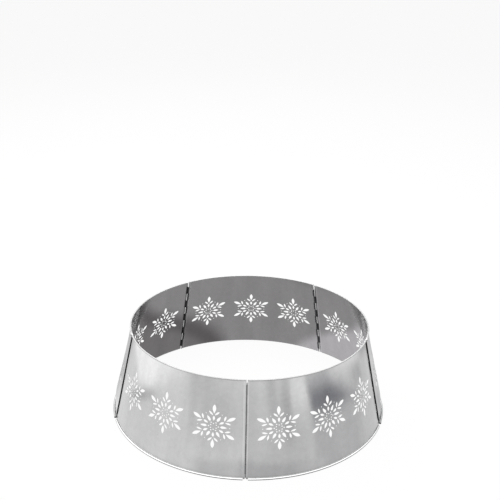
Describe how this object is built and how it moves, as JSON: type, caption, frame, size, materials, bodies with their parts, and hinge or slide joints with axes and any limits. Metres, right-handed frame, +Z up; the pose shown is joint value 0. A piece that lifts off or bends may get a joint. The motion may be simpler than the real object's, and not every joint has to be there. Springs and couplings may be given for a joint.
{
  "type": "tree collar",
  "caption": "Low cone-shaped ring of hinged galvanised steel panels with cut-out snowflakes, which stands on the floor round a tree's foot.",
  "frame": {"origin": "centre of the ring on the floor that it stands on", "axes": "+Z up along the ring's axis, -Y towards the front seam, +X to the right of someone facing that seam"},
  "size_m": [0.7628, 0.7627, 0.25],
  "materials": {
    "galvanised_sheet": "satin galvanised sheet",
    "galvanised_wire": "plain drawn wire"
  },
  "bodies": {
    "back": {"panel_back": "galvanised_sheet"},
    "rear_right": {"panel_rear_right": "galvanised_sheet"},
    "front_right": {"panel_front_right": "galvanised_sheet"},
    "rear_left": {"panel_rear_left": "galvanised_sheet"},
    "front_left": {"panel_front_left": "galvanised_sheet"},
    "pin_front": {"closing_pin": "galvanised_wire"},
    "pin_right": {"hinge_pin_right": "galvanised_wire"},
    "pin_rear_right": {"hinge_pin_rear_right": "galvanised_wire"},
    "pin_rear_left": {"hinge_pin_rear_left": "galvanised_wire"},
    "pin_left": {"hinge_pin_left": "galvanised_wire"}
  },
  "joints": [
    {"name": "rear_right_hinge", "type": "hinge", "parent": "back", "child": "rear_right", "pos_m": [0.21932, 0.30187, 0.00092], "axis": [-0.1237, -0.1703, 0.9776], "range_deg": [0, 29]},
    {"name": "front_right_hinge", "type": "hinge", "parent": "rear_right", "child": "front_right", "pos_m": [0.35487, -0.1153, 0.00092], "axis": [-0.2002, 0.065, 0.9776], "range_deg": [0, 29]},
    {"name": "rear_left_hinge", "type": "hinge", "parent": "back", "child": "rear_left", "pos_m": [-0.21932, 0.30187, 0.00092], "axis": [-0.1237, 0.1703, -0.9776], "range_deg": [0, 29]},
    {"name": "front_left_hinge", "type": "hinge", "parent": "rear_left", "child": "front_left", "pos_m": [-0.35487, -0.1153, 0.00092], "axis": [-0.2002, -0.065, -0.9776], "range_deg": [0, 29]},
    {"name": "closing_pin_lift", "type": "slide", "parent": "front_right", "child": "pin_front", "axis": [0, 0.2105, 0.9776], "range_m": [0, 0.23]},
    {"name": "right_pin_lift", "type": "slide", "parent": "rear_right", "child": "pin_right", "axis": [-0.2002, 0.065, 0.9776], "range_m": [0, 0.23]},
    {"name": "rear_right_pin_lift", "type": "slide", "parent": "back", "child": "pin_rear_right", "axis": [-0.1237, -0.1703, 0.9776], "range_m": [0, 0.23]},
    {"name": "rear_left_pin_lift", "type": "slide", "parent": "rear_left", "child": "pin_rear_left", "axis": [0.1237, -0.1703, 0.9776], "range_m": [0, 0.23]},
    {"name": "left_pin_lift", "type": "slide", "parent": "front_left", "child": "pin_left", "axis": [0.2002, 0.065, 0.9776], "range_m": [0, 0.23]}
  ]
}
